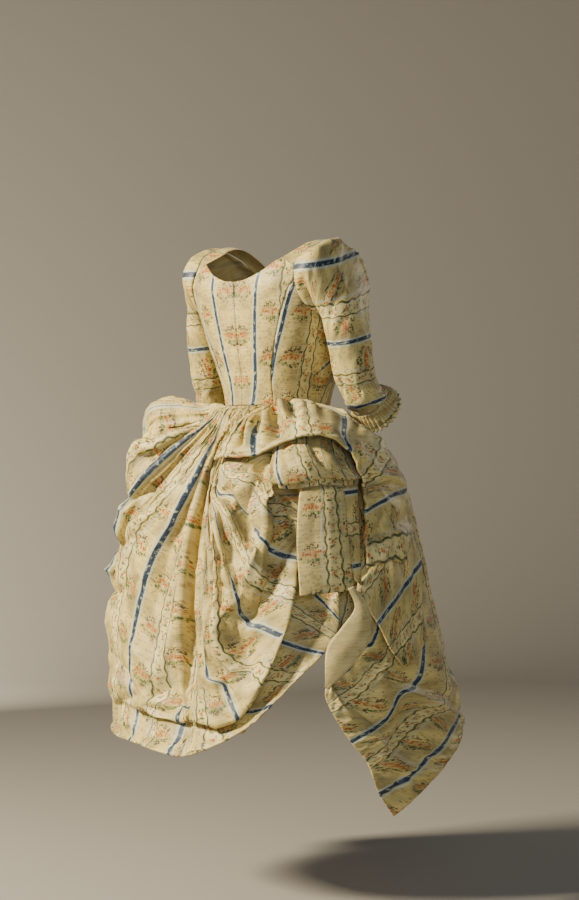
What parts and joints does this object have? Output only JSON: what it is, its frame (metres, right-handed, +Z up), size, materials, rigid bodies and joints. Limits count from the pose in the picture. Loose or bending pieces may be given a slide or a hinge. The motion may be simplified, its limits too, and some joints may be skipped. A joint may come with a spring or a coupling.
{
  "type": "robe a la polonaise",
  "caption": "Worn gown of striped and flowered silk: fitted bodice, elbow sleeves, skirt drawn up at the back through its pocket slits into puffs, an open front and swung-back corners.",
  "frame": {"origin": "midway between the shoulders, level with the tops of the shoulder straps, where the wearer's shoulders hold the gown up", "axes": "+Z up along the wearer, who faces -Y; +X is the wearer's left"},
  "size_m": [0.7432, 0.5949, 1.1448],
  "materials": {
    "silk": "striped and flowered silk taffeta, satin sheen",
    "silk_reverse": "plain reverse of the silk, matt"
  },
  "bodies": {
    "root": {"bodice_back_right": "silk", "bodice_back_left": "silk", "bodice_side_right": "silk", "bodice_side_left": "silk", "bodice_front_right": "silk", "bodice_front_left": "silk", "strap_right": "silk", "strap_left": "silk", "sleeve_right": "silk", "sleeve_left": "silk", "sleeve_flounce_right": "silk", "sleeve_flounce_left": "silk", "skirt_back_left": "silk", "skirt_back_right": "silk", "skirt_front_right": "silk", "skirt_front_left": "silk", "skirt_swag_right": "silk", "skirt_roll_right": "silk", "skirt_strip_long": "silk", "skirt_strip_short": "silk", "skirt_side_right": "silk", "skirt_turned_edge": "silk_reverse"}
  },
  "joints": []
}
